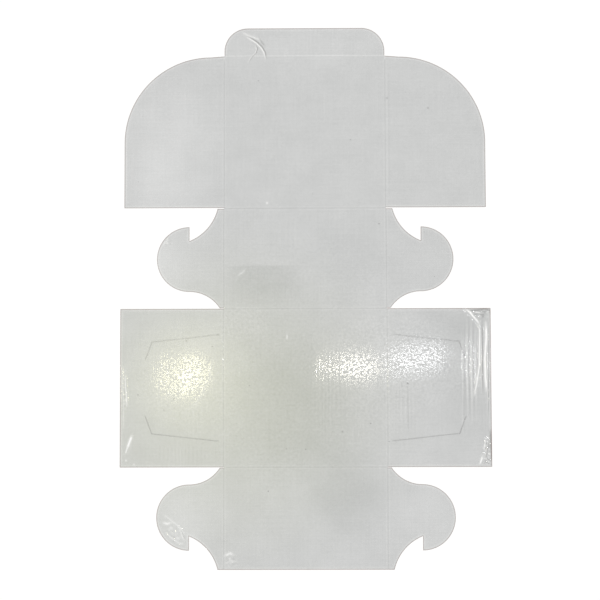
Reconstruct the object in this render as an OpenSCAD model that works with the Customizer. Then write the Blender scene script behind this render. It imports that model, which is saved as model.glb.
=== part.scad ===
// A clear cake box as the flat sheet that it is cut and creased from.
//
// Seen from above, the base lies in the middle. The back wall, the lid and the tuck tab follow
// behind it (+Y), the front wall lies in front of it (-Y), and the side walls lie to its left
// (-X) and right (+X). The front and back walls carry hooks, which catch in the slits of the
// side walls. Each panel folds up by 90 degrees about its crease, and the box is then closed.
//
// The origin is at the middle of the base, on its underside. +Z is up, towards the inside of
// the folded box.

/* [Sheet] */
// Thickness of the clear sheet
sheet_t = 0.3; // [0.2:0.05:0.8]
// Depth of the groove that is pressed into the upper side at each crease
crease_depth = 0.1; // [0.05:0.01:0.15]
// Width that the knife leaves open along each cut
cut_w = 0.5; // [0.3:0.1:1.5]
// Free space between two layers that stand side by side in the closed box
layer_gap = 0.1; // [0.05:0.05:0.5]

/* [Base] */
// Width of the base, from one side wall's crease to the other's
base_w = 160.4; // [120:0.2:240]
// Depth of the base, from the front wall's crease to the back wall's
base_d = 154.4; // [140:0.2:240]

/* [Walls] */
// Height of the front and back walls
wall_h = 98.8; // [92:0.2:125]
// Height of the side walls, which stand a little higher than the lid
side_h = 101; // [97:0.5:140]

/* [Lid] */
// How much shorter the lid is than the base, so that its tab drops in behind the front wall
lid_setback = 2.8; // [1:0.1:6]
// How far the lid's side flaps stay above the base when the box is closed
flap_clearance = 0.5; // [0.3:0.1:5]
// Radius of the large corner at the front of each side flap
flap_corner_r = 85; // [40:1:89]
// How far the front edge of a side flap runs back between its crease and its corner
flap_slope = 1.5; // [0.5:0.1:6]

/* [Tuck tab] */
// Depth of the tab at the front edge of the lid
tab_d = 27.4; // [24:0.2:60]
// How far each end of the tab is set in from the end of the lid
tab_inset = 0.4; // [0.2:0.1:5]
// Radius of the tab's two corners
tab_corner_r = 23; // [5:0.5:23.5]

/* [Hooks] */
// Distance from a hook's crease to the straight side of its round head
hook_reach = 33.8; // [30:0.2:38]
// Radius of the hook's round head
head_r = 31.8; // [28:0.2:32]
// How far the head's middle lies below the middle of the wall
head_drop = 0.9; // [0:0.1:3]
// Depth of the notch between the head and the neck
notch_depth = 13.7; // [8:0.1:20]
// Width of the neck's root next to the base's crease
root_low = 3.6; // [1:0.1:8]
// Width of the neck's root at the upper edge of the wall
root_high = 6; // [2:0.1:12]
// Radius of the curve between the notch and the upper root
neck_r = 46; // [34:1:80]

/* [Slits] */
// Height of a slit's lower end above the base's crease
slit_foot = 6.5; // [3:0.5:20]
// How far the slit leans towards the nearer edge of the wall, from its bend to its lower end
slit_lean = 7; // [0:0.5:15]
// How much nearer the wall's edge the bend lies than the straight side of the hook's head
slit_lead = 1.3; // [0:0.1:4]
// Height of the bend above the bottom of the hook's notch
slit_catch = 3.4; // [0:0.1:10]
// Run of the short leg beyond the bend, towards the middle of the wall
leg_run = 16.2; // [4:0.1:24]
// Rise of the short leg beyond the bend
leg_rise = 6; // [0:0.1:10]

/* [Hidden] */
$fn = 96;
clear_grey = [0.82, 0.83, 0.81];

// Each layer of the closed box stands this much further in than the one outside it. The side
// walls are outermost, then come the hooks, and the lid's side flaps are innermost.
layer = sheet_t + layer_gap;
hook_wall_w = base_w - 2 * layer;
lid_w = hook_wall_w - 2 * layer;
lid_d = base_d - lid_setback;
tab_w = lid_w - 2 * tab_inset;

// Places of the creases along Y
back_y = base_d / 2;
lid_y = back_y + wall_h;
tab_y = lid_y + lid_d;

// A side flap is as long as the wall is high, less its clearance. Its corner has this centre.
flap_reach = wall_h - flap_clearance;
flap_corner = [flap_reach - flap_corner_r, lid_d - flap_slope - flap_corner_r];

// A hook in its wall's plane: the first number runs out from the hook's crease, and the second
// runs up the wall from the base's crease.
head_v = wall_h / 2 - head_drop;
head_low = head_v - head_r;
notch = [hook_reach, head_v + head_r - notch_depth];
shoulder = [root_high, wall_h];
// The curve under the neck meets the head's lowest point squarely and ends at the lower root.
under_r = (pow(hook_reach - root_low, 2) + pow(head_low, 2)) / (2 * head_low);
under_centre = [hook_reach, head_low - under_r];
over_centre = arc_centre(shoulder, notch, neck_r);

// A slit in its wall's plane: the first number runs up the wall from the base's crease, and the
// second runs along the wall from its nearer edge.
slit_bend = [notch[1] + slit_catch, hook_reach - slit_lead];
slit_low_end = [slit_foot, slit_bend[1] - slit_lean];
slit_leg_end = slit_bend + [leg_rise, leg_run];

// Side of the square bar whose lower corner presses the groove of a crease
bar = 2 * sqrt(2) * crease_depth;

// Centre of the arc of radius r from a to b that lies to the left of the way from a to b
function arc_centre(a, b, r) =
    let (
        half = (b - a) / 2,
        across = [-half[1], half[0]] / norm(half)
    )
    a + half + across * sqrt(r * r - half * half);

// A quarter of a disk in the corner where both coordinates are positive
module quarter_disk(r) {
    intersection() {
        circle(r);
        square(2 * r);
    }
}

// A knife cut along the straight line from a to b
module knife_cut(a, b) {
    way = b - a;
    translate(a)
        rotate(atan2(way[1], way[0]))
            translate([-cut_w / 2, -cut_w / 2])
                square([norm(way) + cut_w, cut_w]);
}

// The V-shaped groove of a crease that runs along X over the whole length of a panel
module groove_along_x(length, y) {
    translate([0, y, sheet_t + crease_depth])
        rotate([45, 0, 0])
            cube([length + 2 * bar, bar, bar], center = true);
}

// The V-shaped groove of a crease that runs along Y over the whole length of a panel
module groove_along_y(length, x, y) {
    translate([x, y, sheet_t + crease_depth])
        rotate([0, 45, 0])
            cube([bar, length + 2 * bar, bar], center = true);
}

// The grooves of two like creases, one on each side of the box
module side_grooves(length, x, y) {
    groove_along_y(length, -x, y);
    groove_along_y(length, x, y);
}

// A panel of the sheet: its outline comes first, and then the grooves along its creases
module panel() {
    color(clear_grey)
        difference() {
            linear_extrude(sheet_t) children(0);
            children([1 : $children - 1]);
        }
}

// Outline of a hook whose upper edge lies at the height top
module hook_outline(top) {
    difference() {
        translate([0, cut_w]) square([hook_reach, top - cut_w]);
        translate(under_centre) circle(under_r);
        translate(over_centre) circle(neck_r);
    }
    intersection() {
        translate([hook_reach, head_v]) circle(head_r);
        translate([hook_reach, 0]) square([2 * head_r, wall_h]);
    }
}

module slit_outline() {
    knife_cut(slit_bend, slit_low_end);
    knife_cut(slit_bend, slit_leg_end);
}

// Outline of the right side wall, from its crease outwards
module side_wall_outline() {
    difference() {
        translate([0, -base_d / 2]) square([side_h, base_d]);
        translate([0, -base_d / 2]) slit_outline();
        mirror([0, 1]) translate([0, -base_d / 2]) slit_outline();
    }
}

// Outline of the right side flap of the lid, from its crease outwards
module lid_flap_outline() {
    polygon([
        [0, cut_w],
        [flap_reach, cut_w],
        [flap_reach, flap_corner[1]],
        flap_corner,
        [flap_corner[0], lid_d - flap_slope],
        [0, lid_d - cut_w],
    ]);
    translate(flap_corner) quarter_disk(flap_corner_r);
}

module tuck_tab_outline() {
    straight = tab_d - tab_corner_r;
    half = tab_w / 2;
    translate([-half, 0]) square([tab_w, straight]);
    translate([tab_corner_r - half, straight]) square([tab_w - 2 * tab_corner_r, tab_corner_r]);
    for (side = [0, 1])
        mirror([side, 0])
            translate([half - tab_corner_r, straight])
                quarter_disk(tab_corner_r);
}

module base_panel() {
    panel() {
        square([base_w, base_d], center = true);
        groove_along_x(base_w, -back_y);
        groove_along_x(base_w, back_y);
        side_grooves(base_d, base_w / 2, 0);
    }
}

module front_wall() {
    panel() {
        translate([-hook_wall_w / 2, -back_y - wall_h]) square([hook_wall_w, wall_h]);
        groove_along_x(hook_wall_w, -back_y);
        side_grooves(wall_h, hook_wall_w / 2, -back_y - wall_h / 2);
    }
}

module back_wall() {
    panel() {
        translate([-hook_wall_w / 2, back_y]) square([hook_wall_w, wall_h]);
        groove_along_x(hook_wall_w, back_y);
        groove_along_x(hook_wall_w, lid_y);
        side_grooves(wall_h, hook_wall_w / 2, back_y + wall_h / 2);
    }
}

module right_wall() {
    panel() {
        translate([base_w / 2, 0]) side_wall_outline();
        groove_along_y(base_d, base_w / 2, 0);
    }
}

module left_wall() {
    panel() {
        mirror([1, 0]) translate([base_w / 2, 0]) side_wall_outline();
        groove_along_y(base_d, -base_w / 2, 0);
    }
}

module lid() {
    panel() {
        translate([-lid_w / 2, lid_y]) square([lid_w, lid_d]);
        groove_along_x(lid_w, lid_y);
        groove_along_x(lid_w, tab_y);
        side_grooves(lid_d, lid_w / 2, lid_y + lid_d / 2);
    }
}

module tuck_tab() {
    panel() {
        translate([0, tab_y]) tuck_tab_outline();
        groove_along_x(tab_w, tab_y);
    }
}

module lid_right_flap() {
    panel() {
        translate([lid_w / 2, lid_y]) lid_flap_outline();
        groove_along_y(lid_d, lid_w / 2, lid_y + lid_d / 2);
    }
}

module lid_left_flap() {
    panel() {
        mirror([1, 0]) translate([lid_w / 2, lid_y]) lid_flap_outline();
        groove_along_y(lid_d, -lid_w / 2, lid_y + lid_d / 2);
    }
}

// The back hooks stop short of the lid's side flaps, with a cut between them.
module back_right_hook() {
    panel() {
        translate([hook_wall_w / 2, back_y]) hook_outline(wall_h - cut_w);
        groove_along_y(wall_h, hook_wall_w / 2, back_y + wall_h / 2);
    }
}

module back_left_hook() {
    panel() {
        mirror([1, 0]) translate([hook_wall_w / 2, back_y]) hook_outline(wall_h - cut_w);
        groove_along_y(wall_h, -hook_wall_w / 2, back_y + wall_h / 2);
    }
}

// The front hooks end flush with the free edge of the front wall.
module front_right_hook() {
    panel() {
        mirror([0, 1]) translate([hook_wall_w / 2, back_y]) hook_outline(wall_h);
        groove_along_y(wall_h, hook_wall_w / 2, -back_y - wall_h / 2);
    }
}

module front_left_hook() {
    panel() {
        rotate(180) translate([hook_wall_w / 2, back_y]) hook_outline(wall_h);
        groove_along_y(wall_h, -hook_wall_w / 2, -back_y - wall_h / 2);
    }
}

base_panel();
front_wall();
back_wall();
left_wall();
right_wall();
lid();
tuck_tab();
lid_left_flap();
lid_right_flap();
back_left_hook();
back_right_hook();
front_left_hook();
front_right_hook();
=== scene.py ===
"""A clear cake box, laid out flat as the sheet that it is cut and creased from.

Each panel is one closed mesh of thin clear film that stands for its solid. A mesh starts at its
crease, where a shallow groove runs along it. Lengths are in millimetres until a mesh is made.
The flat sheet's places are x to the right and y towards the lid, from the middle of the base.
"""
import math

import bpy
import numpy as np
from mathutils import Matrix, Vector
from mathutils.geometry import delaunay_2d_cdt


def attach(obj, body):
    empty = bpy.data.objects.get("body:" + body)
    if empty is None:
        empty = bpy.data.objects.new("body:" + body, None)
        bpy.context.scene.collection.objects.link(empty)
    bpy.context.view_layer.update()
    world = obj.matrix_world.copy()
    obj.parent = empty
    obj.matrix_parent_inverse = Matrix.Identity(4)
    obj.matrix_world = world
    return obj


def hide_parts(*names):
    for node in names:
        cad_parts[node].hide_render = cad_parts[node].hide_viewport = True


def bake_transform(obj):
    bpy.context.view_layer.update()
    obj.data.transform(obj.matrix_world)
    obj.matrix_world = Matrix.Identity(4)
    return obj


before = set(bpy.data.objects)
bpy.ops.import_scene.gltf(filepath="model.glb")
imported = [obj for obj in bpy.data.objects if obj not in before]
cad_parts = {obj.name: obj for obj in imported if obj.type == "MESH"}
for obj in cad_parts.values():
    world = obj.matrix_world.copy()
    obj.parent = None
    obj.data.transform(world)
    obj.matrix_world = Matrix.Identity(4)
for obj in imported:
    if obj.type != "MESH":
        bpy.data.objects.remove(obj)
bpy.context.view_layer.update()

MM = 0.001

# The sheet, with the same values as the solids
SHEET_T = 0.3
CUT_W = 0.5
BASE_W = 160.4
BASE_D = 154.4
WALL_H = 98.8
SIDE_H = 101.0
HOOK_WALL_W = 159.6
LID_W = 158.8
LID_D = 151.6
TAB_W = 158.0
TAB_D = 27.4
TAB_CORNER_R = 23.0
FLAP_REACH = 98.3
FLAP_CORNER = (13.3, 65.1)
FLAP_CORNER_R = 85.0
FLAP_SLOPE = 1.5
HOOK_REACH = 33.8
HEAD_R = 31.8
HEAD_MIDDLE = 48.5
NOTCH_BOTTOM = 66.6
ROOT_HIGH = 6.0
ROOT_LOW = 3.6
NECK_R = 46.0
SLIT_BEND = (70.0, 32.5)
SLIT_LOW_END = (6.5, 25.5)
SLIT_LEG_END = (76.0, 48.7)
SLIT_W = 0.06

BACK_Y = BASE_D / 2
LID_Y = BACK_Y + WALL_H
TAB_Y = LID_Y + LID_D

# The mesh: rows of points follow the cut edges and the creases, and the rest is filled in
EDGE_STEP = 1.1
EDGE_ROWS = (0.25, 0.6, 1.0, 1.5, 2.2)
CREASE_ROWS = (0.15, 0.35, 0.7, 1.1, 1.6, 2.2)
CLEAR_OF_EDGE = 2.7
FILL_STEP = 1.9
FINE_STEP = 0.75
GROOVE_DEPTH = 0.08
GROOVE_HALF = 0.4
RIM_ANGLE = math.radians(50)

# A row's points stay where they keep this share of the row's distance from every edge
ROW_SHARE = 0.93

# Finer patches stay this far from the edges, and other points this far from them
PATCH_CLEAR = 0.6
PATCH_MARGIN = 0.4
PATCH_ROWS = 0.5

draw = np.random.default_rng(11)


# Outlines


def line(a, b, step=EDGE_STEP):
    """Points from a up to b, without b."""
    a, b = np.array(a, float), np.array(b, float)
    count = max(1, round(float(np.linalg.norm(b - a)) / step))
    return a + (b - a) * (np.arange(count) / count)[:, None]


def arc(middle, radius, start, end, step=EDGE_STEP):
    """Points on an arc from the angle start up to end, both in degrees, without the last."""
    count = max(2, round(abs(math.radians(end - start)) * radius / step))
    turn = np.radians(start + (end - start) * np.arange(count) / count)
    return np.array(middle) + radius * np.column_stack((np.cos(turn), np.sin(turn)))


def angle_at(middle, point):
    return math.degrees(math.atan2(point[1] - middle[1], point[0] - middle[0]))


def arc_middle(a, b, radius):
    """Middle of the arc from a to b that lies to the left of the way from a to b."""
    a, b = np.array(a), np.array(b)
    half = (b - a) / 2
    across = np.array([-half[1], half[0]]) / np.linalg.norm(half)
    return a + half + across * math.sqrt(radius * radius - half @ half)


def runs_of_box(x0, y0, x1, y1, creased):
    """A rectangle's four runs, from the lower left corner round to the right."""
    corners = [(x0, y0), (x1, y0), (x1, y1), (x0, y1)]
    sides = ("front", "right", "back", "left")
    return [
        (side in creased, line(corners[i], corners[(i + 1) % 4]))
        for i, side in enumerate(sides)
    ]


def hook_runs(top):
    """A hook beside its crease: u runs out from the crease and v up the wall."""
    low = HEAD_MIDDLE - HEAD_R
    under_r = ((HOOK_REACH - ROOT_LOW) ** 2 + low ** 2) / (2 * low)
    under = (HOOK_REACH, low - under_r)
    root_u = under[0] - math.sqrt(under_r ** 2 - (CUT_W - under[1]) ** 2)
    notch = (HOOK_REACH, NOTCH_BOTTOM)
    over = arc_middle((ROOT_HIGH, WALL_H), notch, NECK_R)
    top_u = over[0] - math.sqrt(NECK_R ** 2 - (top - over[1]) ** 2)
    head = (HOOK_REACH, HEAD_MIDDLE)
    edge = np.vstack([
        line((0, CUT_W), (root_u, CUT_W)),
        arc(under, under_r, angle_at(under, (root_u, CUT_W)), 90),
        arc(head, HEAD_R, -90, 90),
        line((HOOK_REACH, HEAD_MIDDLE + HEAD_R), notch),
        arc(over, NECK_R, angle_at(over, notch), angle_at(over, (top_u, top))),
        line((top_u, top), (0, top)),
    ])
    return [(False, edge), (True, line((0, top), (0, CUT_W)))]


def flap_runs():
    """A side flap of the lid beside its crease: u runs out and v away from the back wall."""
    end_v = LID_D - FLAP_SLOPE
    edge = np.vstack([
        line((0, CUT_W), (FLAP_REACH, CUT_W)),
        line((FLAP_REACH, CUT_W), (FLAP_REACH, FLAP_CORNER[1])),
        arc(FLAP_CORNER, FLAP_CORNER_R, 0, 90),
        line((FLAP_CORNER[0], end_v), (0, LID_D - CUT_W)),
    ])
    return [(False, edge), (True, line((0, LID_D - CUT_W), (0, CUT_W)))]


def tab_runs():
    half = TAB_W / 2
    straight = TAB_D - TAB_CORNER_R
    edge = np.vstack([
        line((half, 0), (half, straight)),
        arc((half - TAB_CORNER_R, straight), TAB_CORNER_R, 0, 90),
        line((half - TAB_CORNER_R, TAB_D), (TAB_CORNER_R - half, TAB_D)),
        arc((TAB_CORNER_R - half, straight), TAB_CORNER_R, 90, 180),
        line((-half, straight), (-half, 0)),
    ])
    return [(True, line((-half, 0), (half, 0))), (False, edge)]


def slit_hole(turned):
    """The slit as a narrow bent hole in a side wall, near the edge where v is lowest."""
    way = [np.array(p) for p in (SLIT_LOW_END, SLIT_BEND, SLIT_LEG_END)]
    path = np.vstack([line(way[0], way[1]), line(way[1], way[2]), [way[2]]])
    along = np.gradient(path, axis=0)
    along /= np.linalg.norm(along, axis=1)[:, None]
    side = np.column_stack((-along[:, 1], along[:, 0])) * SLIT_W / 2
    loop = np.vstack([path + side, (path - side)[::-1]])
    loop[:, 1] -= BASE_D / 2
    return loop * (1, -1) if turned else loop


def placed(runs, right=1, up=1, at=(0, 0)):
    """Runs moved from beside their crease to their place on the sheet."""
    return [(creased, points * (right, up) + at) for creased, points in runs]


def side_wall_runs():
    return runs_of_box(0, -BASE_D / 2, SIDE_H, BASE_D / 2, ("left",))


# Wear, and painted shade and highlights

# Sharp bends in the film: a path, the half width of the ridge, its height, and how dark and pale
# it is along it, partly painted shade and highlights of the ridge and partly scratches and
# whitening
KINKS = [
    # The tuck tab's bent corner
    ([(-57, 347.6), (-52, 344.8), (-46.5, 341), (-42, 336.5), (-39, 331.5), (-37.4, 324.4)],
     0.9, 0.7, 1.0, 0.7),
    ([(-47.6, 338.8), (-46.4, 334.5), (-47.8, 330.6), (-51.5, 327), (-55.4, 321.2)],
     0.7, 0.5, 0.85, 0.5),
    ([(-62, 351.4), (-55, 347.6), (-48, 345.2), (-43, 343)], 1.2, 0.4, 0.2, 0.5),
    ([(-45, 345.5), (-42, 341), (-38.6, 337)], 1.0, 0.3, 0.45, 0.0),
    # The left back hook
    ([(-139.9, 139.4), (-138, 142.6), (-134.4, 145.2)], 0.8, 0.5, 0.3, 0.5),
    # The right wall's far edge and its two corners
    ([(156.5, 76.4), (160.7, 73.6), (164.1, 69.4), (167.9, 64.9), (170.4, 61.0)],
     1.1, 0.8, 0.0, 1.0),
    ([(169.2, 65.0), (170.4, 53.7), (170.2, 40.1), (169.6, 20.6), (167.1, 3.1), (163.3, -11.5)],
     0.9, 0.6, 0.0, 0.85),
    ([(176.4, 66.0), (176.8, 47.3), (175.3, 27.4), (175.6, 9.9), (176.7, -6.0)],
     1.3, 0.8, 0.0, 1.0),
    ([(172.9, 68.0), (173.2, 41.0), (172.8, 21.6), (173.0, -8.0)], 0.7, 0.4, 0.7, 0.0),
    ([(179.2, 68.0), (179.1, 36.2), (178.5, 2.1), (178.4, -30.0)], 0.7, 0.4, 0.55, 0.2),
    ([(159.2, 74.9), (167.1, 75.2), (174.9, 76.2), (180.0, 75.2), (181.0, 71.0)],
     1.3, 0.5, 0.8, 0.0),
    ([(170.0, 73.7), (177.8, 73.5)], 0.8, 0.3, 0.5, 0.0),
    ([(166.4, 73.2), (171.4, 72.6)], 0.8, 0.3, 0.0, 0.6),
    ([(180.1, -40.0), (180.4, -57.0), (181.0, -63.0), (180.8, -68.0), (179.7, -74.0)],
     1.5, 0.6, 0.95, 0.0),
    ([(175.3, -68.7), (176.8, -60.5), (177.6, -56.1), (178.9, -50.2)], 0.9, 0.5, 0.6, 0.3),
    ([(173.6, -60.5), (174.5, -55.1), (175.2, -50.7)], 0.8, 0.4, 0.0, 0.7),
    ([(171.9, -67.2), (171.1, -69.8), (169.4, -74.5)], 0.9, 0.4, 0.0, 0.9),
    ([(172.3, -73.9), (176.3, -73.2), (180.1, -75.1)], 0.8, 0.4, 0.6, 0.2),
    ([(172.9, -64.8), (176.5, -71.2)], 0.7, 0.3, 0.35, 0.4),
    # The left wall's far edge and its near corner
    ([(-169.6, -46.6), (-171.4, -51.6), (-172.9, -55.6), (-174.0, -58.6)], 1.3, 0.4, 0.0, 0.9),
    ([(-172.4, -54.5), (-174.2, -59.0), (-175.8, -64.0)], 0.8, 0.3, 0.0, 0.6),
    ([(-168.6, -50.5), (-170.6, -57), (-174.4, -66)], 0.7, 0.3, 0.2, 0.2),
    ([(-176.6, 13), (-175.8, 0), (-174.6, -12), (-174.4, -20)], 0.7, 0.3, 0.0, 0.5),
    ([(-179.4, 24), (-178.6, 4), (-177.6, -22), (-177.8, -44)], 0.6, 0.3, 0.15, 0.35),
    # The left front hook's head
    ([(-139.2, -122.6), (-132.4, -127.2), (-124.4, -133.6), (-118.2, -141.6)],
     0.9, 0.6, 0.1, 0.28),
    ([(-138.6, -130.6), (-134.6, -131.8), (-131.6, -131)], 1.1, 0.4, 0.0, 0.5),
    ([(-137.4, -139.4), (-130.4, -145.4), (-122.6, -150.6), (-117.8, -151.2)],
     0.9, 0.5, 0.1, 0.3),
    ([(-128.2, -134.8), (-125.6, -141), (-126.4, -149.6)], 0.8, 0.4, 0.25, 0.25),
    ([(-121.2, -137.8), (-117.6, -146.6)], 0.8, 0.5, 0.35, 0.3),
    # The front wall's free corner
    ([(-78.6, -162.2), (-73.8, -160.2), (-70.8, -161.4)], 1.4, 0.4, 0.0, 0.5),
    ([(-79, -170.4), (-73, -166.8), (-66, -168.6)], 0.8, 0.4, 0.2, 0.35),
    # Scratches and faint pressed lines
    ([(-17.9, 52.2), (-17.8, 46.8)], 0.5, 0.1, 0.0, 0.6),
    ([(154.9, 33.3), (154.2, -46.4)], 0.5, 0.06, 0.3, 0.16),
    ([(99.8, 3.7), (100.3, -44)], 0.5, 0.05, 0.3, 0.0),
    ([(-66, 109.5), (-61, 113.2), (-58.5, 116.4)], 0.9, 0.2, 0.0, 0.3),
    ([(83.2, 182), (83.0, 250), (83.4, 322)], 0.5, 0.04, 0.12, 0.0),
    ([(81.4, 184), (81.3, 250), (81.5, 318)], 0.7, 0.04, 0.0, 0.08),
    ([(-131, 21.5), (-118, 21.8), (-106, 20.2), (-97, 22.4)], 0.9, 0.02, 0.16, 0.0),
    ([(-121.4, 34), (-121, 22), (-122.6, 8)], 0.8, 0.02, 0.16, 0.0),
    ([(-90, 32), (-94, 8), (-106, -14), (-122, -26)], 1.4, 0.05, 0.0, 0.1),
]

# Small spots: middle, half width, and how dark and pale; the pale spots at the left wall's near
# corner are painted highlights
SPOTS = [
    ((-116.3, 45.8), 0.8, 0.8, 0.0),
    ((-125.5, 8.7), 0.8, 0.8, 0.0),
    ((-128.4, -10.8), 0.8, 0.7, 0.0),
    ((-138.2, -21.5), 0.7, 0.6, 0.0),
    ((99.8, 3.7), 0.9, 0.9, 0.0),
    ((55.0, 12.5), 0.7, 0.6, 0.0),
    ((38.0, 30.0), 0.7, 0.4, 0.0),
    ((36.0, -43.0), 0.8, 0.6, 0.0),
    # Painted highlights at the left wall's near corner
    ((-175.1, -70.4), 0.9, 0.0, 0.5),
    ((-167.3, -74.3), 0.9, 0.0, 0.35),
    ((8.0, 189.9), 0.9, 0.5, 0.3),
    ((121.8, 274.8), 0.9, 0.5, 0.0),
    ((-37.3, 181.2), 1.0, 0.0, 0.6),
    ((-62.9, 112.3), 1.2, 0.0, 0.2),
    ((81.4, 284.9), 0.9, 0.5, 0.0),
]

# Where the film is crumpled: middle, half sizes, height, size of the folds, and how strong the
# painted shade in the valleys and the painted highlights on the crests are
CRUMPLES = [
    ((173.6, 72.0), (14.0, 9.0), 0.6, 7.0, 0.4, 0.15),
    ((177.4, -62.0), (8.0, 19.0), 0.6, 5.0, 0.5, 0.5),
    ((-177.6, -4.0), (4.6, 30.0), 0.2, 6.0, 0.1, 0.3),
    ((-128.0, -141.0), (13.0, 13.0), 0.55, 6.5, 0.15, 0.25),
    ((-72.0, -168.0), (9.0, 7.0), 0.3, 5.0, 0.15, 0.3),
    ((-134.0, 143.0), (7.0, 6.0), 0.25, 4.5, 0.1, 0.2),
    ((-46.0, 338.0), (13.0, 15.0), 0.25, 6.0, 0.05, 0.12),
]

# Ripples that run along y: middle, half sizes, height, distance from crest to crest, and how
# strong the painted shade in the troughs and painted highlights on the crests are
RIPPLES = [
    ((161.0, 18.0), (12.0, 64.0), 0.14, 4.2, 0.35),
    ((174.5, 26.0), (6.0, 48.0), 0.2, 3.5, 0.2),
]

# Where the lines of the film's making show more: middle, half sizes and how strong
LINED = [
    ((22.0, 0.0), (26.0, 76.0), 1.0),
    ((98.0, -14.0), (16.0, 40.0), 1.0),
    ((-120.0, -64.0), (50.0, 16.0), 0.7),
    ((-140.0, 20.0), (30.0, 70.0), 0.5),
]

# Scuffed places: middle, half sizes and how strong
SCUFFS = [
    ((-117.0, 8.0), (60.0, 60.0), 0.5),
    ((85.0, 25.0), (95.0, 62.0), 0.75),
    ((-60.0, 62.0), (40.0, 26.0), 0.6),
    ((-10.0, -10.0), (150.0, 110.0), 0.35),
    ((0.0, 100.0), (130.0, 60.0), 0.2),
]

# Where the film's skin is hazy, so that a lamp shows as a wide glow: middle and half sizes
HAZY = ((-116.0, 8.0), (150.0, 150.0))

# Where the film is a little cloudier or clearer: middle, half sizes and change in cover
CLOUDS = [
    ((-135.0, 245.0), (75.0, 95.0), -0.045),
    ((-145.0, 120.0), (60.0, 55.0), -0.06),
    ((-150.0, 190.0), (70.0, 60.0), -0.03),
    ((0.0, 338.0), (130.0, 40.0), -0.025),
    ((-10.0, 85.0), (120.0, 30.0), 0.01),
    ((45.0, 130.0), (60.0, 60.0), 0.02),
    ((0.0, 0.0), (120.0, 100.0), 0.07),
    ((0.0, -60.0), (90.0, 40.0), 0.03),
    ((135.0, 30.0), (80.0, 80.0), 0.04),
    ((155.0, 62.0), (60.0, 40.0), 0.025),
    ((168.0, -30.0), (50.0, 60.0), 0.02),
    ((42.0, -104.0), (56.0, 54.0), 0.058),
    ((-125.0, -125.0), (60.0, 60.0), -0.05),
    ((125.0, -125.0), (60.0, 60.0), -0.02),
]

# A smudge with a straight upper edge: its lowest and highest corners, how far each of its sides
# fades (left, right, lower, upper) and its change in cover
SMUDGE = ((-90.0, 72.0), (6.0, 121.0), (36.0, 34.0, 30.0, 3.0), 0.045)

# Where a painted warm light tints the film: middle and half sizes
PAINTED_WARM_PLACE = ((-90.0, -15.0), (230.0, 200.0))

# How dark or pale a crease, the tab's crease, the film beside a cut edge and a slit are: a
# crease's dark line and a slit are painted shade, and the pale lines beside a crease and a cut
# edge are painted highlights
CREASE_PAINTED_SHADE = 0.10
CREASE_PAINTED_HIGHLIGHT = 0.07
TAB_PALE = 0.22
EDGE_PAINTED_HIGHLIGHT = 0.16
SLIT_PAINTED_SHADE = 0.6

# Half widths in millimetres of those lines, and how far some lie from their crease or edge
FOLD_LINE = 0.5
FOLD_SIDE = 1.3
TAB_FOLD_REACH = 4
SLIT_SHADE = 0.42
EDGE_LINE = 0.6
EDGE_SIDE = 1.5
RIM_LINE = 0.5

# A dark kink's pale line, partly a painted highlight, lies this far to its left and below it
PALE_SIDE = (1.0, 0.7)

# The share of a path's length over which it fades at each end
TAPER = 0.3

# How far the film stands off the ground at rest, and how far it wanders from that
SLACK = 0.04
SLACK_WAVE = 0.012


def smoothly(t):
    """From 0 to 1 with a soft start and end."""
    t = np.clip(t, 0, 1)
    return t * t * (3 - 2 * t)


def smudge(x, y):
    """The smudge's change in cover at each place."""
    (x0, y0), (x1, y1), (left, right, lower, upper), change = SMUDGE
    across = smoothly((x - x0) / left) * smoothly((x1 - x) / right)
    return change * across * smoothly((y - y0) / lower) * smoothly((y1 - y) / upper)


def window(x, y, middle, half):
    """1 in the middle of a place and 0 outside its half sizes, with a soft border."""
    r = np.hypot((x - middle[0]) / half[0], (y - middle[1]) / half[1])
    return smoothly(1 - r)


def distance_to(points, starts, ends):
    """Each point's distance to the nearest of the straight pieces."""
    best = np.full(len(points), 1e9)
    way = ends - starts
    length2 = np.maximum((way ** 2).sum(1), 1e-12)
    for s, w, l2 in zip(starts, way, length2):
        t = np.clip(((points - s) @ w) / l2, 0, 1)
        gap = points - s - t[:, None] * w
        np.minimum(best, np.hypot(gap[:, 0], gap[:, 1]), out=best)
    return best


def near_path(points, path):
    """Each point's distance to a path, and a share that falls to 0 at the path's two ends."""
    path = np.array(path, float)
    ends = np.hypot(*(points - path[0]).T), np.hypot(*(points - path[-1]).T)
    length = np.linalg.norm(np.diff(path, axis=0), axis=1).sum()
    taper = np.clip(np.minimum(*ends) / (TAPER * length), 0, 1)
    return distance_to(points, path[:-1], path[1:]), taper * (2 - taper)


def folds(x, y, size):
    """Facets with sharp valleys between them, from 0 to 1, as in film that was crushed."""
    total = np.zeros_like(x)
    for i in range(5):
        turn = 0.7 + 2.399 * i
        wave = (x * math.cos(turn) + y * math.sin(turn)) / size * (0.6 + 0.23 * i)
        total += np.abs(np.sin(wave * math.pi + 1.3 * i + 0.6 * np.sin(0.21 * x + 0.17 * y + i)))
    return total / 5


def slack(points):
    """How far the film stands off the ground at rest. It wanders by less than half the free
    space between two layers of the closed box."""
    x, y = points[:, 0], points[:, 1]
    height = SLACK + SLACK_WAVE * np.sin(x / 19 + 0.8) * np.sin(y / 27 + 0.3)
    return height + SLACK_WAVE * np.sin(x / 41 - y / 33)


def wear_height(points):
    """How far the ridges of the bent and crumpled places rise above the film round them."""
    x, y = points[:, 0], points[:, 1]
    height = np.zeros(len(points))
    for path, half, rise, _dark, _pale in KINKS:
        near, taper = near_path(points, path)
        height += rise * 0.6 * taper * np.exp(-(near / (half * 1.6)) ** 2)
    for middle, half, rise, size, _dark, _pale in CRUMPLES:
        height += rise * window(x, y, middle, half) * folds(x, y, size)
    for middle, half, rise, gap, _tone in RIPPLES:
        crest = 0.5 + 0.5 * np.sin(2 * math.pi * (x - middle[0]) / gap + 0.35 * np.sin(y / 17))
        height += rise * window(x, y, middle, half) * crest
    return height


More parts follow.
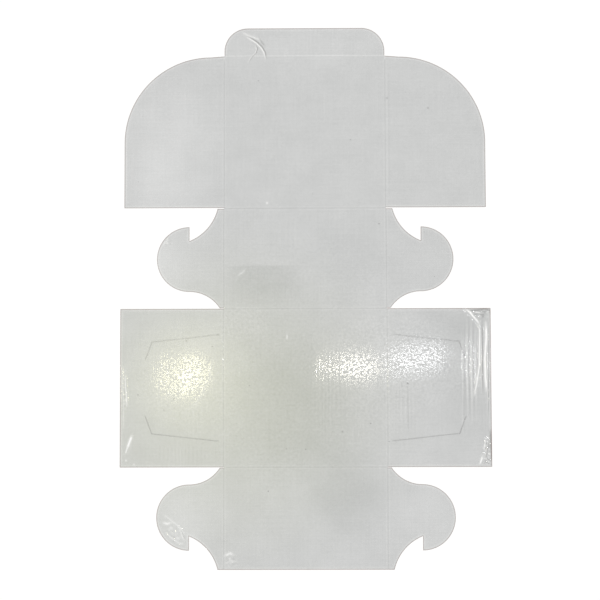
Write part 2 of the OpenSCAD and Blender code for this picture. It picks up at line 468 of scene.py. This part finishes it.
def wear_and_painted_light_of(points):
    """How dark and pale the film is at each point, partly its own marks and partly painted shade
    and highlights, how scuffed, lined and hazy it is and how much painted warm light it has, each
    from 0 to 1, and the change in its cover."""
    x, y = points[:, 0], points[:, 1]
    dark, pale, scuff, lined, cloud = (np.zeros(len(points)) for _tone in range(5))
    # Along the kinks: partly painted shade and highlights, partly scratches and whitened film
    for path, half, _rise, dark_there, pale_there in KINKS:
        near, taper = near_path(points, path)
        dark = np.maximum(dark, dark_there * taper * np.exp(-(near / (half * 0.75)) ** 2))
        if dark_there > pale_there:
            near, taper = near_path(points, np.array(path) - PALE_SIDE)
        pale = np.maximum(pale, pale_there * taper * np.exp(-(near / (half * 0.85)) ** 2))
    for middle, half, dark_there, pale_there in SPOTS:
        spot = np.exp(-((x - middle[0]) ** 2 + (y - middle[1]) ** 2) / half ** 2)
        dark = np.maximum(dark, dark_there * spot)
        pale = np.maximum(pale, pale_there * spot)
    # Painted shade in the crumples' valleys and painted highlights on their crests
    for middle, half, _rise, size, dark_there, pale_there in CRUMPLES:
        there = np.minimum(1, 1.6 * window(x, y, middle, half))
        fold = folds(x, y, size)
        dark = np.maximum(dark, dark_there * there * np.clip((0.66 - fold) * 4, 0, 1))
        pale = np.maximum(pale, pale_there * there * np.clip((fold - 0.72) * 5, 0, 1))
    # Painted shade in the ripples' troughs and painted highlights on their crests
    for middle, half, _rise, gap, tone in RIPPLES:
        there = tone * window(x, y, middle, half)
        phase = 2 * math.pi * (x - middle[0]) / gap + 0.35 * np.sin(y / 17)
        dark = np.maximum(dark, there * np.clip(-np.sin(phase), 0, 1))
        pale = np.maximum(pale, there * np.clip(np.sin(phase), 0, 1))
    for middle, half, strong in SCUFFS:
        scuff = np.maximum(scuff, strong * np.minimum(1, 2.2 * window(x, y, middle, half)))
    for middle, half, strong in LINED:
        lined = np.maximum(lined, strong * window(x, y, middle, half))
    for middle, half, change in CLOUDS:
        cloud += change * window(x, y, middle, half)
    cloud += smudge(x, y)
    return {
        "dark": dark, "pale": pale, "scuff": scuff, "lined": lined, "cloud": cloud,
        "hazy": window(x, y, *HAZY),
        "painted_warm_light": window(x, y, *PAINTED_WARM_PLACE),
    }


# Meshes


def inside(points, starts, ends):
    """Which points lie inside the closed outline that the straight pieces make."""
    hits = np.zeros(len(points), int)
    px, py = points[:, 0], points[:, 1]
    for (x0, y0), (x1, y1) in zip(starts, ends):
        if y0 == y1:
            continue
        crosses = (y0 > py) != (y1 > py)
        hits += crosses & (px < x0 + (py - y0) * (x1 - x0) / (y1 - y0))
    return hits % 2 == 1


def hex_fill(low, high, step):
    """Points on a slightly uneven honeycomb over a rectangle."""
    rows = []
    for i, y in enumerate(np.arange(low[1], high[1], step * 0.87)):
        x = np.arange(low[0] + (i % 2) * step / 2, high[0], step)
        rows.append(np.column_stack((x, np.full(len(x), y))))
    points = np.vstack(rows)
    return points + draw.uniform(-0.12 * step, 0.12 * step, points.shape)


def rows_beside(loop, offset):
    """A row of points on each side of a closed loop, at the offset from it."""
    along = np.roll(loop, -1, axis=0) - np.roll(loop, 1, axis=0)
    along /= np.maximum(np.linalg.norm(along, axis=1), 1e-9)[:, None]
    side = np.column_stack((-along[:, 1], along[:, 0])) * offset
    return np.vstack([loop + side, loop - side])


def far_from(points, lines):
    """Distance to the nearest of some straight pieces, or far away if there are none."""
    if len(lines[0]) == 0:
        return np.full(len(points), 99.0)
    return distance_to(points, *lines)


def film_points(runs, holes):
    """The loops of a piece's outline, the points that fill it, and its edges sorted by kind."""
    outer = np.vstack([points for _creased, points in runs])
    creased = np.concatenate([np.full(len(points), flag) for flag, points in runs])
    loops = [outer, *holes]
    starts = np.vstack(loops)
    ends = np.vstack([np.roll(loop, -1, axis=0) for loop in loops])
    rest = len(starts) - len(outer)
    at_crease = np.concatenate([creased, np.zeros(rest, bool)])
    at_slit = np.arange(len(starts)) >= len(outer)
    at_cut = ~at_crease & ~at_slit
    kinds = [(starts[kind], ends[kind]) for kind in (at_cut, at_crease, at_slit)]

    offsets = sorted(set(EDGE_ROWS + CREASE_ROWS))
    near = np.vstack([rows_beside(loop, o) for loop in loops for o in offsets])
    offset = np.concatenate([np.full(2 * len(loop), o) for loop in loops for o in offsets])
    keep = inside(near, starts, ends)
    near, offset = near[keep], offset[keep]
    from_crease = far_from(near, kinds[1])
    from_cut = np.minimum(far_from(near, kinds[0]), far_from(near, kinds[2]))
    in_rows = np.where(from_cut < from_crease, np.isin(offset, EDGE_ROWS),
                       np.isin(offset, CREASE_ROWS))
    near = near[in_rows & (np.minimum(from_cut, from_crease) > offset * ROW_SHARE)]
    near_far = distance_to(near, starts, ends)

    low, high = outer.min(0), outer.max(0)
    coarse = hex_fill(low, high, FILL_STEP)
    coarse = coarse[inside(coarse, starts, ends)]
    coarse = coarse[distance_to(coarse, starts, ends) > CLEAR_OF_EDGE]
    fine = []
    for middle, half in fine_places():
        first = np.maximum(low, np.array(middle) - half)
        last = np.minimum(high, np.array(middle) + half)
        if (last - first).min() > FINE_STEP:
            patch = hex_fill(first, last, FINE_STEP)
            patch = patch[inside(patch, starts, ends)]
            fine.append(patch[distance_to(patch, starts, ends) > PATCH_CLEAR])
            outside = (coarse < first - PATCH_MARGIN) | (coarse > last + PATCH_MARGIN)
            coarse = coarse[outside.any(1)]
            keep = ((near < first) | (near > last)).any(1) | (near_far < PATCH_ROWS)
            near, near_far = near[keep], near_far[keep]
    return loops, np.vstack([near, coarse, *fine]), kinds


def fine_places():
    """Boxes round the kinks, crumples and ripples, where the mesh is finer."""
    for middle, half, *_rest in CRUMPLES:
        yield middle, np.array(half) + 1.0
    for middle, half, *_rest in RIPPLES:
        yield middle, np.array(half)
    for middle, half, *_rest in SPOTS:
        yield middle, np.array((3 * half, 3 * half))
    for path, half, *_rest in KINKS:
        path = np.array(path, float)
        yield (path.min(0) + path.max(0)) / 2, (path.max(0) - path.min(0)) / 2 + 3 * half


def film_piece(name, runs, holes=(), tight=False):
    """A closed mesh of film that fills the runs, apart from the holes. A tight piece has another
    layer close to it in the closed box, so its ridges are left to the material."""
    loops, fill, (cut, crease, slits) = film_points(runs, list(holes))
    points = [Vector(p) for loop in loops for p in loop]
    edges = []
    first = 0
    for loop in loops:
        n = len(loop)
        edges += [(first + i, first + (i + 1) % n) for i in range(n)]
        first += n
    points += [Vector(p) for p in fill]
    made, _edges, faces, *_rest = delaunay_2d_cdt(points, edges, [], 0, 1e-4)
    flat = np.array([tuple(p) for p in made])
    faces = np.array(faces)
    starts = np.vstack(loops)
    ends = np.vstack([np.roll(loop, -1, axis=0) for loop in loops])
    faces = faces[inside(flat[faces].mean(1), starts, ends)]
    a, b, c = flat[faces[:, 0]], flat[faces[:, 1]], flat[faces[:, 2]]
    turn = (b - a)[:, 0] * (c - a)[:, 1] - (b - a)[:, 1] * (c - a)[:, 0]
    faces[turn < 0] = faces[turn < 0][:, ::-1]
    used, faces = np.unique(faces, return_inverse=True)
    flat, faces = flat[used], faces.reshape(-1, 3)

    from_cut, from_crease, from_slit = (far_from(flat, kind) for kind in (cut, crease, slits))
    ridges = wear_height(flat)
    ground = slack(flat) + (0 if tight else ridges)
    groove = GROOVE_DEPTH * np.clip(1 - from_crease / GROOVE_HALF, 0, 1)
    n = len(flat)
    top = np.column_stack((flat, ground + SHEET_T - groove))
    under = np.column_stack((flat, ground))

    half_edges = np.vstack([faces[:, [0, 1]], faces[:, [1, 2]], faces[:, [2, 0]]])
    key = np.sort(half_edges, axis=1)
    _u, index, count = np.unique(key, axis=0, return_index=True, return_counts=True)
    border = half_edges[index[count == 1]]
    rim = np.column_stack((border[:, 1], border[:, 0], border[:, 0] + n, border[:, 1] + n))

    mesh = bpy.data.meshes.new(name)
    all_faces = faces.tolist() + (faces[:, ::-1] + n).tolist() + rim.tolist()
    mesh.from_pydata((np.vstack([top, under]) * MM).tolist(), [], all_faces)
    mesh.materials.append(film)
    mesh.shade_smooth()
    mesh.set_sharp_from_angle(angle=RIM_ANGLE)

    tones = wear_and_painted_light_of(flat)
    # Painted shade along the creases and slits, and painted highlights beside the creases and cut
    # edges; the tab's crease gets a pale line instead
    at_tab = np.abs(flat[:, 1] - TAB_Y) < TAB_FOLD_REACH
    fold_line = np.exp(-(from_crease / FOLD_LINE) ** 2)
    fold_side = np.exp(-((from_crease - FOLD_SIDE) / FOLD_LINE) ** 2)
    slit_line = np.exp(-(from_slit / SLIT_SHADE) ** 2)
    edge_line = np.exp(-((from_cut - EDGE_SIDE) / EDGE_LINE) ** 2)
    crease_pale = np.where(at_tab, TAB_PALE * fold_line, CREASE_PAINTED_HIGHLIGHT * fold_side)
    tones["dark"] = np.maximum(tones["dark"], np.where(at_tab, 0, CREASE_PAINTED_SHADE) * fold_line)
    tones["dark"] = np.maximum(tones["dark"], SLIT_PAINTED_SHADE * slit_line)
    tones["pale"] = np.maximum(tones["pale"], crease_pale)
    tones["pale"] = np.maximum(tones["pale"], EDGE_PAINTED_HIGHLIGHT * edge_line)
    # Painted shade along the cut rims
    tones["rim"] = np.exp(-(from_cut / RIM_LINE) ** 2)
    tones["ridge"] = ridges if tight else np.zeros(n)
    for key, values in tones.items():
        layer = mesh.attributes.new(key, "FLOAT", "POINT")
        layer.data.foreach_set("value", np.concatenate([values, values]).astype(np.float32))
    layer = mesh.attributes.new("flat", "FLOAT_VECTOR", "POINT")
    place = np.column_stack((flat, np.zeros(n))) * MM
    layer.data.foreach_set("vector", np.vstack([place, place]).astype(np.float32).ravel())

    piece = bpy.data.objects.new(name, mesh)
    bpy.context.scene.collection.objects.link(piece)
    return piece


# The film's colours and how much of what lies behind it one sheet covers
FILM_GREY = (0.262, 0.280, 0.285)
# The tint of a painted warm light
FILM_PAINTED_WARM = (0.268, 0.300, 0.13)
# Dark and pale marks, partly the film's own and partly painted shade and highlights
FILM_DARK = (0.10, 0.10, 0.09)
FILM_PALE = (0.95, 0.95, 0.93)
# Painted shade at the cut rims, in brown
RIM_PAINTED_SHADE = (0.26, 0.12, 0.08)
FILM_ALPHA = 0.262

# Depth in metres of a bump whose height is 1
BUMP_DEPTH = 0.00012

# The film's making: metres from one wide line to the next, how far they wander, and how often
# the fine lines and the wander change along x and y
WIDE_LINE_GAP = 0.0036
WIDE_LINE_WANDER = 9.0
WANDER_SCALE = (60, 9, 1)
FINE_LINE_SCALE = (1100, 16, 1)
CROSS_LINE_SCALE = (16, 900, 1)

# How often the skin's marks come in a metre
DIMPLE_SCALE = 700.0
BLOTCH_SCALE = 38.0
MOTTLE_SCALE = 380.0
SPECK_SCALE = 430.0
DUST_SCALE = 110.0
DUST_SIZE = 0.07

# Roughness of plain film, of its specks and of its hazy skin
PLAIN_ROUGH = 0.072
SPECK_ROUGH = 0.04
SCUFF_ROUGH = 0.035
SCUFF_SPECK_ROUGH = 0.34
HAZY_ROUGH = 0.26


class Maker:
    """Adds nodes to one material and joins them."""

    def __init__(self, tree):
        self.tree = tree

    def node(self, kind, **settings):
        made = self.tree.nodes.new(kind)
        for key, value in settings.items():
            setattr(made, key, value)
        return made

    def put(self, socket, value):
        if isinstance(value, bpy.types.NodeSocket):
            self.tree.links.new(value, socket)
        else:
            socket.default_value = value

    def attribute(self, name, output="Fac"):
        return self.node("ShaderNodeAttribute", attribute_name=name).outputs[output]

    def maths(self, operation, a, b=0.0, clamp=False):
        made = self.node("ShaderNodeMath", operation=operation, use_clamp=clamp)
        self.put(made.inputs[0], a)
        self.put(made.inputs[1], b)
        return made.outputs[0]

    def mix(self, share, a, b):
        made = self.node("ShaderNodeMix", data_type="RGBA")
        self.put(made.inputs[0], share)
        self.put(made.inputs[6], a if isinstance(a, bpy.types.NodeSocket) else (*a, 1))
        self.put(made.inputs[7], b if isinstance(b, bpy.types.NodeSocket) else (*b, 1))
        return made.outputs[2]

    def stretched(self, vector, scale):
        made = self.node("ShaderNodeMapping")
        self.put(made.inputs["Vector"], vector)
        made.inputs["Scale"].default_value = scale
        return made.outputs[0]

    def noise(self, vector, scale, detail=2.0, rough=0.5):
        made = self.node("ShaderNodeTexNoise")
        self.put(made.inputs["Vector"], vector)
        self.put(made.inputs["Scale"], scale)
        self.put(made.inputs["Detail"], detail)
        self.put(made.inputs["Roughness"], rough)
        return made.outputs[0]

    def ramp(self, value, low, high):
        made = self.node("ShaderNodeMapRange", clamp=True)
        self.put(made.inputs["Value"], value)
        self.put(made.inputs["From Min"], low)
        self.put(made.inputs["From Max"], high)
        return made.outputs[0]


def film_material():
    """Clear film with the lines of its making, dust, clouds, scuffs, a painted warm light, dark
    and pale marks that are partly its own and partly painted shade and highlights at creases,
    kinks, slits and cut edges, and painted shade at its rims.
    """
    made = bpy.data.materials.new("clear_film")
    made.use_nodes = True
    make = Maker(made.node_tree)
    shader = made.node_tree.nodes["Principled BSDF"]
    flat = make.attribute("flat", "Vector")
    dark = make.attribute("dark")
    pale = make.attribute("pale")
    scuff = make.attribute("scuff")
    rim = make.attribute("rim")
    lined = make.attribute("lined")
    place = make.node("ShaderNodeSeparateXYZ")
    make.put(place.inputs[0], flat)

    drift = make.noise(make.stretched(flat, WANDER_SCALE), 1.0, 2.0)
    across = make.maths("MULTIPLY", place.outputs[0], 2 * math.pi / WIDE_LINE_GAP)
    phase = make.maths("ADD", across, make.maths("MULTIPLY", drift, WIDE_LINE_WANDER))
    wide_lines = make.maths("MULTIPLY", make.maths("SINE", phase), lined)
    fine_lines = make.noise(make.stretched(flat, FINE_LINE_SCALE), 1.0, 1.0, 0.5)
    cross_lines = make.noise(make.stretched(flat, CROSS_LINE_SCALE), 1.0, 1.0, 0.5)
    dimples = make.noise(flat, DIMPLE_SCALE, 1.0, 0.6)
    blotches = make.noise(flat, BLOTCH_SCALE, 3.0, 0.55)
    mottle = make.noise(flat, MOTTLE_SCALE, 3.0, 0.65)

    spots = make.node("ShaderNodeTexVoronoi")
    make.put(spots.inputs["Vector"], flat)
    make.put(spots.inputs["Scale"], DUST_SCALE)
    spot_size = make.node("ShaderNodeSeparateColor")
    make.put(spot_size.inputs[0], spots.outputs["Color"])
    dot_size = make.maths("MULTIPLY", make.ramp(spot_size.outputs[0], 0.82, 1.0), DUST_SIZE)
    dot = make.maths("LESS_THAN", spots.outputs["Distance"], dot_size)

    # A painted warm light tints the film
    colour = make.mix(make.attribute("painted_warm_light"), FILM_GREY, FILM_PAINTED_WARM)
    # Dark and pale marks, partly the film's own and partly painted shade and highlights, then
    # dust
    colour = make.mix(dark, colour, FILM_DARK)
    colour = make.mix(pale, colour, FILM_PALE)
    colour = make.mix(make.maths("MULTIPLY", dot, 0.7), colour, FILM_DARK)
    # Painted shade at the cut rims
    colour = make.mix(rim, colour, RIM_PAINTED_SHADE)
    make.put(shader.inputs["Base Color"], colour)

    alpha = make.maths("ADD", make.attribute("cloud"), FILM_ALPHA)
    rubbed = make.maths("ADD", make.maths("MULTIPLY", scuff, 0.2), 0.05)
    for tone, share in ((fine_lines, 0.03), (cross_lines, 0.03), (blotches, 0.06),
                        (mottle, rubbed)):
        part = make.maths("MULTIPLY", make.maths("SUBTRACT", tone, 0.5), share)
        alpha = make.maths("ADD", alpha, part)
    # The dark and pale marks with their painted shade and highlights, the rims' painted shade and
    # the dust change the cover too
    for mask, share in ((wide_lines, 0.016), (dark, 0.22), (pale, -0.2), (rim, 0.22), (dot, 0.2)):
        alpha = make.maths("ADD", alpha, make.maths("MULTIPLY", mask, share), clamp=True)
    make.put(shader.inputs["Alpha"], alpha)

    specks = make.ramp(make.noise(flat, SPECK_SCALE, 1.0, 0.6), 0.50, 0.56)
    speck_rough = make.maths("ADD", make.maths("MULTIPLY", scuff, SCUFF_SPECK_ROUGH), SPECK_ROUGH)
    plain_rough = make.maths("ADD", make.maths("MULTIPLY", scuff, SCUFF_ROUGH), PLAIN_ROUGH)
    rough = make.maths("ADD", make.maths("MULTIPLY", specks, speck_rough), plain_rough)
    make.put(shader.inputs["Roughness"], rough)

    rough_skin = make.maths("ADD", make.maths("MULTIPLY", scuff, 0.16), 0.03)
    height = make.maths("MULTIPLY", dimples, rough_skin)
    for wave, share in ((fine_lines, 0.04), (cross_lines, 0.02), (wide_lines, 0.24)):
        height = make.maths("ADD", height, make.maths("MULTIPLY", wave, share))
    ridge = make.maths("MULTIPLY", make.attribute("ridge"), MM / BUMP_DEPTH)
    height = make.maths("ADD", height, ridge)
    bump = make.node("ShaderNodeBump")
    bump.inputs["Strength"].default_value = 1.0
    bump.inputs["Distance"].default_value = BUMP_DEPTH
    make.put(bump.inputs["Height"], height)
    make.put(shader.inputs["Normal"], bump.outputs[0])
    shader.inputs["IOR"].default_value = 1.5
    make.put(shader.inputs["Coat Weight"], make.attribute("hazy"))
    shader.inputs["Coat Roughness"].default_value = HAZY_ROUGH
    return made


film = film_material()

# The sheet's pieces

LEFT, RIGHT = -1, 1
base_x, hook_x, lid_x = BASE_W / 2, HOOK_WALL_W / 2, LID_W / 2

panel = film_piece(
    "base_film",
    runs_of_box(-base_x, -BACK_Y, base_x, BACK_Y, ("front", "right", "back", "left")),
)
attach(panel, "base_panel")
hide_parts("base_panel")

front = runs_of_box(-hook_x, -BACK_Y - WALL_H, hook_x, -BACK_Y, ("right", "back", "left"))
back = runs_of_box(-hook_x, BACK_Y, hook_x, LID_Y, ("front", "right", "back", "left"))
lid = runs_of_box(-lid_x, LID_Y, lid_x, TAB_Y, ("front", "right", "back", "left"))
back_hook, front_hook, flap = hook_runs(WALL_H - CUT_W), hook_runs(WALL_H), flap_runs()
holes = [slit_hole(False), slit_hole(True)]

# Each piece's node, the node that carries it, its outline, its holes, and its crease's place and
# the way out from it
FOLDED = [
    ("front_wall", "base_panel", front, (), (0, -BACK_Y), (0, -1)),
    ("back_wall", "base_panel", back, (), (0, BACK_Y), (0, 1)),
    ("lid", "back_wall", lid, (), (0, LID_Y), (0, 1)),
    ("tuck_tab", "lid", placed(tab_runs(), at=(0, TAB_Y)), (), (0, TAB_Y), (0, 1)),
]
for side, word in ((LEFT, "left"), (RIGHT, "right")):
    FOLDED += [
        (f"{word}_wall", "base_panel", placed(side_wall_runs(), side, 1, (side * base_x, 0)),
         [hole * (side, 1) + (side * base_x, 0) for hole in holes],
         (side * base_x, 0), (side, 0)),
        (f"lid_{word}_flap", "lid", placed(flap, side, 1, (side * lid_x, LID_Y)), (),
         (side * lid_x, LID_Y), (side, 0)),
        (f"back_{word}_hook", "back_wall", placed(back_hook, side, 1, (side * hook_x, BACK_Y)),
         (), (side * hook_x, BACK_Y), (side, 0)),
        (f"front_{word}_hook", "front_wall",
         placed(front_hook, side, -1, (side * hook_x, -BACK_Y)), (),
         (side * hook_x, -BACK_Y), (side, 0)),
    ]

for node, carrier, runs, piece_holes, crease, way in FOLDED:
    tight = node.endswith("hook") or node in ("left_wall", "right_wall")
    piece = film_piece(f"{node}_film", runs, piece_holes, tight)
    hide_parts(node)
    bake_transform(piece)

# Floor, light and camera


# The floor's grey as light sees it, its grey under shadow and its own glow as the camera sees it
FLOOR_PLAIN = 0.8
FLOOR_SHADED = 0.22
FLOOR_GLOW = 0.86
ROOM_LIGHT = 0.42


def floor_material():
    """White to the camera and in reflections, and it keeps the object's shadow."""
    made = bpy.data.materials.new("pale_floor")
    made.use_nodes = True
    tree = made.node_tree
    tree.nodes.clear()
    make = Maker(tree)
    path = make.node("ShaderNodeLightPath")
    seen = make.maths("MAXIMUM", path.outputs["Is Camera Ray"], path.outputs["Is Glossy Ray"])
    seen = make.maths("MAXIMUM", seen, path.outputs["Is Transmission Ray"])
    plain = make.node("ShaderNodeBsdfDiffuse")
    plain.inputs["Color"].default_value = (FLOOR_PLAIN, FLOOR_PLAIN, FLOOR_PLAIN, 1)
    shaded = make.node("ShaderNodeBsdfDiffuse")
    shaded.inputs["Color"].default_value = (FLOOR_SHADED, FLOOR_SHADED, FLOOR_SHADED, 1)
    white = make.node("ShaderNodeEmission")
    white.inputs["Strength"].default_value = FLOOR_GLOW
    both = make.node("ShaderNodeAddShader")
    make.put(both.inputs[0], shaded.outputs[0])
    make.put(both.inputs[1], white.outputs[0])
    pick = make.node("ShaderNodeMixShader")
    make.put(pick.inputs[0], seen)
    make.put(pick.inputs[1], plain.outputs[0])
    make.put(pick.inputs[2], both.outputs[0])
    out = make.node("ShaderNodeOutputMaterial")
    make.put(out.inputs[0], pick.outputs[0])
    return made


FLOOR_HALF = 4.0
FLOOR_DROP = 0.0003
floor_mesh = bpy.data.meshes.new("floor")
floor_mesh.from_pydata(
    [(-FLOOR_HALF, -FLOOR_HALF, -FLOOR_DROP), (FLOOR_HALF, -FLOOR_HALF, -FLOOR_DROP),
     (FLOOR_HALF, FLOOR_HALF, -FLOOR_DROP), (-FLOOR_HALF, FLOOR_HALF, -FLOOR_DROP)],
    [], [(0, 1, 2, 3)])
floor_mesh.materials.append(floor_material())
floor = bpy.data.objects.new("floor", floor_mesh)
bpy.context.scene.collection.objects.link(floor)


def room_light():
    """An even soft room, white where the camera sees it."""
    world = bpy.data.worlds.new("room")
    world.use_nodes = True
    tree = world.node_tree
    make = Maker(tree)
    tree.nodes.clear()
    path = make.node("ShaderNodeLightPath")
    room = make.node("ShaderNodeBackground")
    room.inputs["Color"].default_value = (1.0, 0.99, 0.97, 1)
    room.inputs["Strength"].default_value = ROOM_LIGHT
    seen = make.node("ShaderNodeBackground")
    seen.inputs["Color"].default_value = (1, 1, 1, 1)
    seen.inputs["Strength"].default_value = 1.0
    pick = make.node("ShaderNodeMixShader")
    make.put(pick.inputs[0], path.outputs["Is Camera Ray"])
    make.put(pick.inputs[1], room.outputs[0])
    make.put(pick.inputs[2], seen.outputs[0])
    out = make.node("ShaderNodeOutputWorld")
    make.put(out.inputs[0], pick.outputs[0])
    bpy.context.scene.world = world


def lamp(name, place, size, power, colour, shape="RECTANGLE", aim=None, turned=0):
    """A flat lamp that shines straight down, turned about that way, or else towards a point."""
    made = bpy.data.lights.new(name, "AREA")
    made.shape = shape
    made.size, made.size_y = size
    made.energy = power
    made.color = colour
    lamp_object = bpy.data.objects.new(name, made)
    lamp_object.location = place
    lamp_object.rotation_euler = (0, 0, math.radians(turned))
    if aim is not None:
        way = Vector(aim) - Vector(place)
        lamp_object.rotation_euler = way.to_track_quat("-Z", "Y").to_euler()
    bpy.context.scene.collection.objects.link(lamp_object)


room_light()
MIDDLE = (0, 0.09, 0)
lamp("soft_left", (-1.5, -0.9, 1.5), (0.9, 0.9), 9, (0.98, 1.0, 0.95), aim=MIDDLE)
lamp("soft_right", (1.5, 1.2, 1.5), (0.9, 0.9), 9, (0.95, 0.98, 1.0), aim=MIDDLE)
lamp("bulb_left", (-0.284, -0.055, 1.2), (0.100, 0.072), 0.92, (1.0, 0.94, 0.62), "ELLIPSE",
     turned=52)
lamp("shade_left", (-0.28, -0.05, 1.21), (0.30, 0.27), 0.36, (0.98, 1.0, 0.7), "ELLIPSE")
lamp("tube_near", (0.120, -0.034, 1.2), (0.098, 0.035), 0.84, (1.0, 0.95, 0.84))
lamp("tube_far", (0.270, -0.016, 1.2), (0.13, 0.05), 0.88, (0.98, 0.98, 1.0), turned=8)

# The camera's place and turns that fit the photograph
CAMERA_PLACE = (-0.19, 57.34, 816.35)
CAMERA_LENS = 50.0
CAMERA_SENSOR = 36.0
PITCH, ROLL, YAW = -1.981, 0.178, -0.349

camera_data = bpy.data.cameras.new("camera")
camera_data.lens = CAMERA_LENS
camera_data.sensor_width = CAMERA_SENSOR
camera_data.clip_start = 0.01
camera_data.clip_end = 100
camera = bpy.data.objects.new("camera", camera_data)
turn = (
    Matrix.Rotation(math.radians(YAW), 3, "Y")
    @ Matrix.Rotation(math.radians(PITCH), 3, "X")
    @ Matrix.Rotation(math.radians(ROLL), 3, "Z")
)
camera.matrix_world = Matrix.Translation(Vector(CAMERA_PLACE) * MM) @ turn.transposed().to_4x4()
bpy.context.scene.collection.objects.link(camera)
bpy.context.scene.camera = camera
bpy.context.scene.view_settings.view_transform = "Standard"
